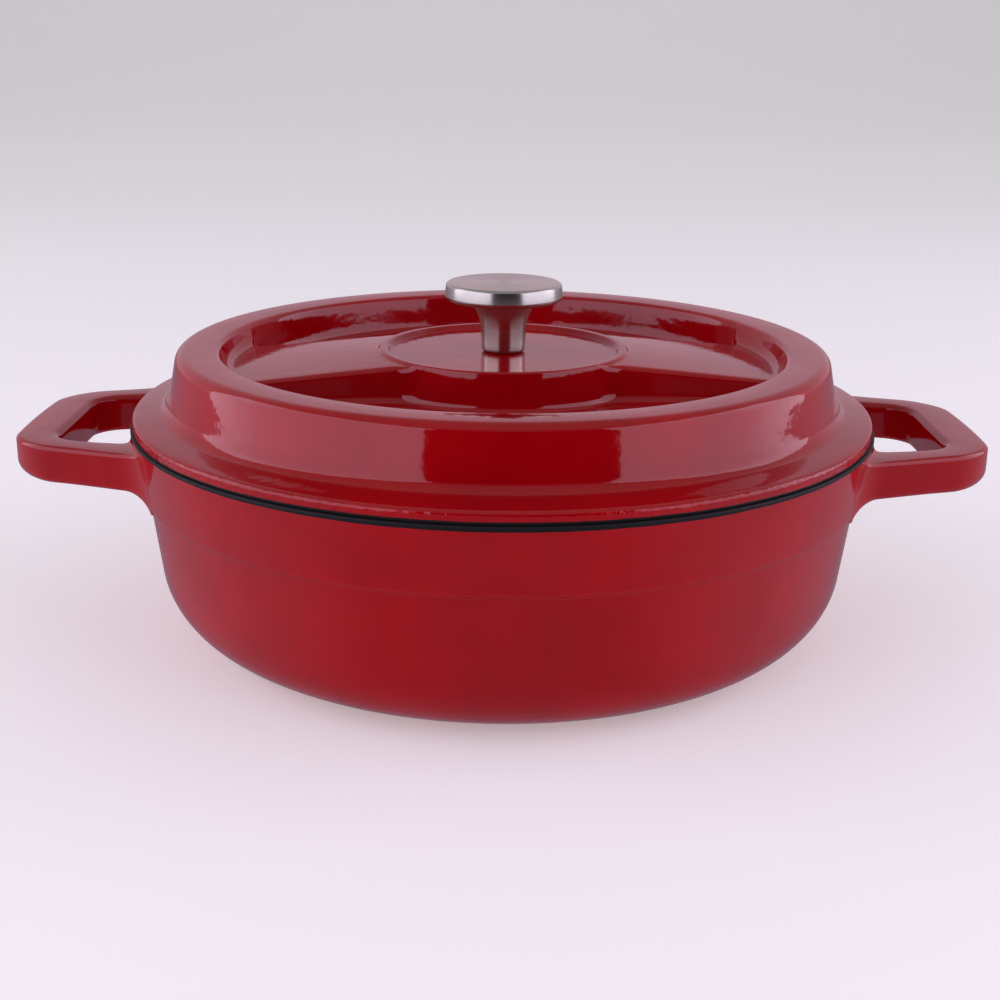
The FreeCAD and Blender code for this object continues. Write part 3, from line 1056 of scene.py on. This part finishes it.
    def is_black(self, place: Vector) -> bool:
        """Whether a place on the bar's outline is on the black underside or edge.

        Args:
            place: The place on the outline.

        Returns:
            True from the red enamel's limit on the edge round to the underside of the disc.
        """
        if place.x < self.crown_reach:
            under_disc = place.z < 104.5
            return under_disc and self.is_under_crown(place)
        wall_middle = 127.0 - 0.187 * (place.z - 85.5)
        under_ring = place.z < 105.5
        flange_middle = 84.5
        at_edge = place.x > 140.0
        under_flange = place.z < (self.red_limit + SAME if at_edge else flange_middle)
        return (under_ring and place.x < wall_middle) or under_flange

    def build(self, red: bpy.types.Material, black: bpy.types.Material) -> None:
        """Turn the lid, move its spokes and put it in place of its CAD solid.

        Args:
            red: The top's finish.
            black: The underside's and lower edge's finish.
        """
        shape = draw_outline(self.corners(LidZone.BAR), closed=True)
        pocket = draw_outline(self.corners(LidZone.POCKET), closed=True)
        split_long_edges([shape, pocket], self.longest_run)
        bar_rows = number_rows(shape)
        pocket_rows = number_rows(pocket)
        pocket.free()
        steps = 2 * self.half_turn_steps
        turn_outline(shape, steps)
        row_of = shape.verts.layers.int["row"]
        lines = self.bar_lines()
        for vertex in shape.verts:
            column = round(math.atan2(vertex.co.y, vertex.co.x) / (2 * math.pi) * steps) % steps
            bar, sunk = bar_rows[vertex[row_of]], pocket_rows[vertex[row_of]]
            share = self.share(column, lines)
            if self.is_under_crown(bar):
                middle = bar.lerp(sunk, share)
                across = abs(middle.x * math.sin(self.spoke(column, middle.x, lines)))
                share = smooth_step(across, *self.boss_flat) if middle.x > self.disc_radius - 12 else share
            place = bar.lerp(sunk, share)
            angle = self.spoke(column, place.x, lines)
            vertex.co = Vector((place.x * math.cos(angle), place.x * math.sin(angle), place.z))
            vertex.co.rotate(Matrix.Rotation(math.radians(self.turned_by), 3, "Z"))
            if abs(place.z - self.red_limit) < SAME and place.x > self.edge_radius - 0.5:
                vertex.co.z = enamel_limit(vertex.co, self.red_limit, self.front_red_limit)
        bmesh.ops.recalc_face_normals(shape, faces=list(shape.faces))
        for face in shape.faces:
            places = (bar_rows[vertex[row_of]] for vertex in face.verts)
            face.material_index = int(all(self.is_black(place) for place in places))
        piece = finish_piece(shape, "lid_enamelled", [red, black])
        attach(piece, "lid")
        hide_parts("lid")


# Knob and fastening


@dataclass
class Knob:
    """The knob: a thick disc with a soft rim on a slim stem, and the screw and washers under it."""

    steps: int = 160
    longest_run: float = 2.5

    def corners(self) -> list[Corner]:
        """Give the outline's corners.

        Returns:
            The corners, from the stem's foot to the middle of the top.
        """
        return [
            Corner(0.0, 106.0),
            Corner(8.5, 106.0, 1.7, 6),
            Corner(9.0, 118.6, 15.0, 10),
            Corner(13.0, 126.2, 1.4, 5),
            Corner(23.0, 126.2, 1.7, 8),
            Corner(22.3, 133.0, 1.5, 8),
            Corner(0.0, 133.0),
        ]

    def build(self, steel: bpy.types.Material, fastener: bpy.types.Material) -> None:
        """Turn the knob and put it in place of its CAD solid, and dress the fasteners.

        Args:
            steel: The knob's finish.
            fastener: The screw's and washers' finish.
        """
        shape = draw_outline(self.corners())
        split_long_edges([shape], self.longest_run)
        turn_outline(shape, self.steps)
        piece = finish_piece(shape, "knob_turned", [steel])
        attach(piece, "knob")
        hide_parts("knob")
        for name in ("knob_screw", "flat_washer", "spring_washer"):
            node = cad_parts[name]
            node.data.materials.clear()
            node.data.materials.append(fastener)
            LOG.info("%s: dressed", name)


# Studio


def blend_colours(
    tree: bpy.types.NodeTree, under: str | bpy.types.NodeSocket, over: str | bpy.types.NodeSocket,
    value: bpy.types.NodeSocket, ends: tuple[float, float],
) -> bpy.types.NodeSocket:
    """Go smoothly from one colour to another.

    Args:
        tree: The tree that the nodes join.
        under: The first colour, as a hex code or a socket.
        over: The second colour, as a hex code or a socket.
        value: The socket that drives the blend.
        ends: The values at which only the first and only the second colour are left.

    Returns:
        The blended colour's socket.
    """
    start, end = ends
    rise = add_node(
        tree, "ShaderNodeMapRange",
        {"interpolation_type": "SMOOTHSTEP", "From Min": start, "From Max": end}, {"Value": value},
    )
    colours = {6: under, 7: over}
    settings = {key: linear(colour) for key, colour in colours.items() if isinstance(colour, str)}
    links = {key: colour for key, colour in colours.items() if not isinstance(colour, str)}
    mixed = add_node(
        tree, "ShaderNodeMix", {"data_type": "RGBA", **settings}, {0: rise.outputs["Result"], **links},
    )
    return mixed.outputs[2]


@dataclass
class Softbox:
    """A rectangular soft light that stands upright and faces the casserole."""

    name: str
    azimuth: float
    width: float
    distance: float = 1.2
    height: float = 1.3
    middle: float = 0.67
    radiance: float = 1.75
    colour: str = "F0E6FF"

    def build(self) -> None:
        """Make the light. Its azimuth is counted from the front, towards +X."""
        light = bpy.data.lights.new(self.name, "AREA")
        light.shape = "RECTANGLE"
        light.size = self.width
        light.size_y = self.height
        light.energy = self.radiance * math.pi * self.width * self.height
        light.color = linear(self.colour)[:3]
        lamp = bpy.data.objects.new(self.name, light)
        angle = math.radians(self.azimuth)
        place = Vector((math.sin(angle), -math.cos(angle), 0)) * self.distance
        lamp.rotation_euler = (-place).to_track_quat("-Z", "Y").to_euler()
        lamp.location = place + Vector((0, 0, self.middle))
        lamp.visible_camera = False
        bpy.context.scene.collection.objects.link(lamp)


@dataclass
class Studio:
    """A pale floor, a pale backdrop behind and a softbox on each side."""

    floor_half: float = 5.0
    floor_back: float = 2.4
    bend_radius: float = 1.0
    wall_height: float = 1.6
    floor_colour: str = "EDECED"
    floor_glow: float = 0.36
    backdrop: str = "D0B9C8"
    front: str = "1C1A1C"
    overhead: str = "A29EA2"
    below: str = "867D8D"
    below_sides: str = "B4A9BD"

    def build_floor(self) -> None:
        """Lay the floor, which bends up into a wall far behind."""
        wall = self.floor_back + self.bend_radius
        shape = draw_outline([
            Corner(-self.floor_half / MM, 0.0),
            Corner(wall / MM, 0.0, self.bend_radius / MM, 24),
            Corner(wall / MM, (self.bend_radius + self.wall_height) / MM),
        ])
        across = Vector((0, 2 * self.floor_half / MM, 0))
        drawn = bmesh.ops.extrude_edge_only(shape, edges=list(shape.edges))["geom"]
        moved = [part for part in drawn if isinstance(part, bmesh.types.BMVert)]
        bmesh.ops.translate(shape, vec=across, verts=moved)
        bmesh.ops.translate(shape, vec=-across / 2, verts=list(shape.verts))
        bmesh.ops.rotate(shape, matrix=Matrix.Rotation(math.pi / 2, 3, "Z"), verts=list(shape.verts))
        material, tree, shader = start_material("pale_table_laminate")
        grain = noise_on_object(tree, 3.0, 2.0)
        tree.links.new(add_bump(tree, grain, 0.02), shader.inputs["Normal"])
        shader.inputs["Base Color"].default_value = linear(self.floor_colour)
        shader.inputs["Roughness"].default_value = 0.75
        shader.inputs["Emission Color"].default_value = linear(self.floor_colour)
        shader.inputs["Emission Strength"].default_value = self.floor_glow
        floor = finish_piece(shape, "studio_floor", [material])
        floor.visible_glossy = False

    def build_world(self) -> None:
        """Shade the surroundings: pale behind, dark in front, and softer above and below."""
        world = bpy.data.worlds.new("studio_surroundings")
        world.use_nodes = True
        tree = world.node_tree
        tree.nodes.clear()
        place = add_node(tree, "ShaderNodeTexCoord")
        axes = add_node(tree, "ShaderNodeSeparateXYZ", links={0: place.outputs["Generated"]})
        aside = add_node(tree, "ShaderNodeMath", {"operation": "ABSOLUTE"}, {0: axes.outputs["X"]})
        across, up, sideways = axes.outputs["Y"], axes.outputs["Z"], aside.outputs["Value"]
        above = blend_colours(tree, self.front, self.backdrop, across, (-0.10, 0.30))
        above = blend_colours(tree, above, self.overhead, up, (0.50, 0.85))
        below = blend_colours(tree, self.below, self.below_sides, sideways, (0.45, 1.0))
        source = blend_colours(tree, above, below, up, (0.0, -0.06))
        background = add_node(tree, "ShaderNodeBackground", {"Strength": 1.0}, {"Color": source})
        add_node(tree, "ShaderNodeOutputWorld", links={"Surface": background.outputs["Background"]})
        bpy.context.scene.world = world

    def build_camera(self) -> None:
        """Set the camera a little above the rim, in front of the casserole."""
        lens = bpy.data.cameras.new("front_camera")
        lens.sensor_width = 36.0
        lens.lens = 53.8
        lens.shift_x = -0.0018
        lens.shift_y = -0.0235
        camera = bpy.data.objects.new("front_camera", lens)
        place = Vector((0.0, -0.5740, 0.2276))
        aim = Vector((0.0, 0.0, 0.0545)) - place
        turn = aim.to_track_quat("-Z", "Y").to_matrix().to_4x4()
        roll = Matrix.Rotation(math.radians(0.643), 4, "Z")
        camera.matrix_world = Matrix.Translation(place) @ turn @ roll
        bpy.context.scene.collection.objects.link(camera)
        bpy.context.scene.camera = camera

    def build(self) -> None:
        """Set up the studio."""
        bpy.context.scene.view_settings.view_transform = "Standard"
        self.build_floor()
        self.build_world()
        Softbox("left_softbox", azimuth=-67.5, width=2.28).build()
        Softbox("right_softbox", azimuth=76.0, width=2.0).build()
        self.build_camera()


def main() -> None:
    """Build the studio and every piece in order."""
    logging.basicConfig(level=logging.INFO, format="%(name)s: %(message)s")
    Studio().build()
    red = GlossEnamel().make()
    black = MattEnamel().make()
    Bowl().build(red, black, GroundIron().make())
    for side in Side:
        LoopHandle(side).build(red)
    lid_red = GlossEnamel(
        name="cherry_vitreous_enamel_lid", peel_depth_mm=0.06, edge_ripple_depth_mm=0.4,
    ).make()
    Lid().build(lid_red, black)
    Knob().build(TurnedSteel().make(), StampedSteel().make())


if __name__ == "__main__":
    main()
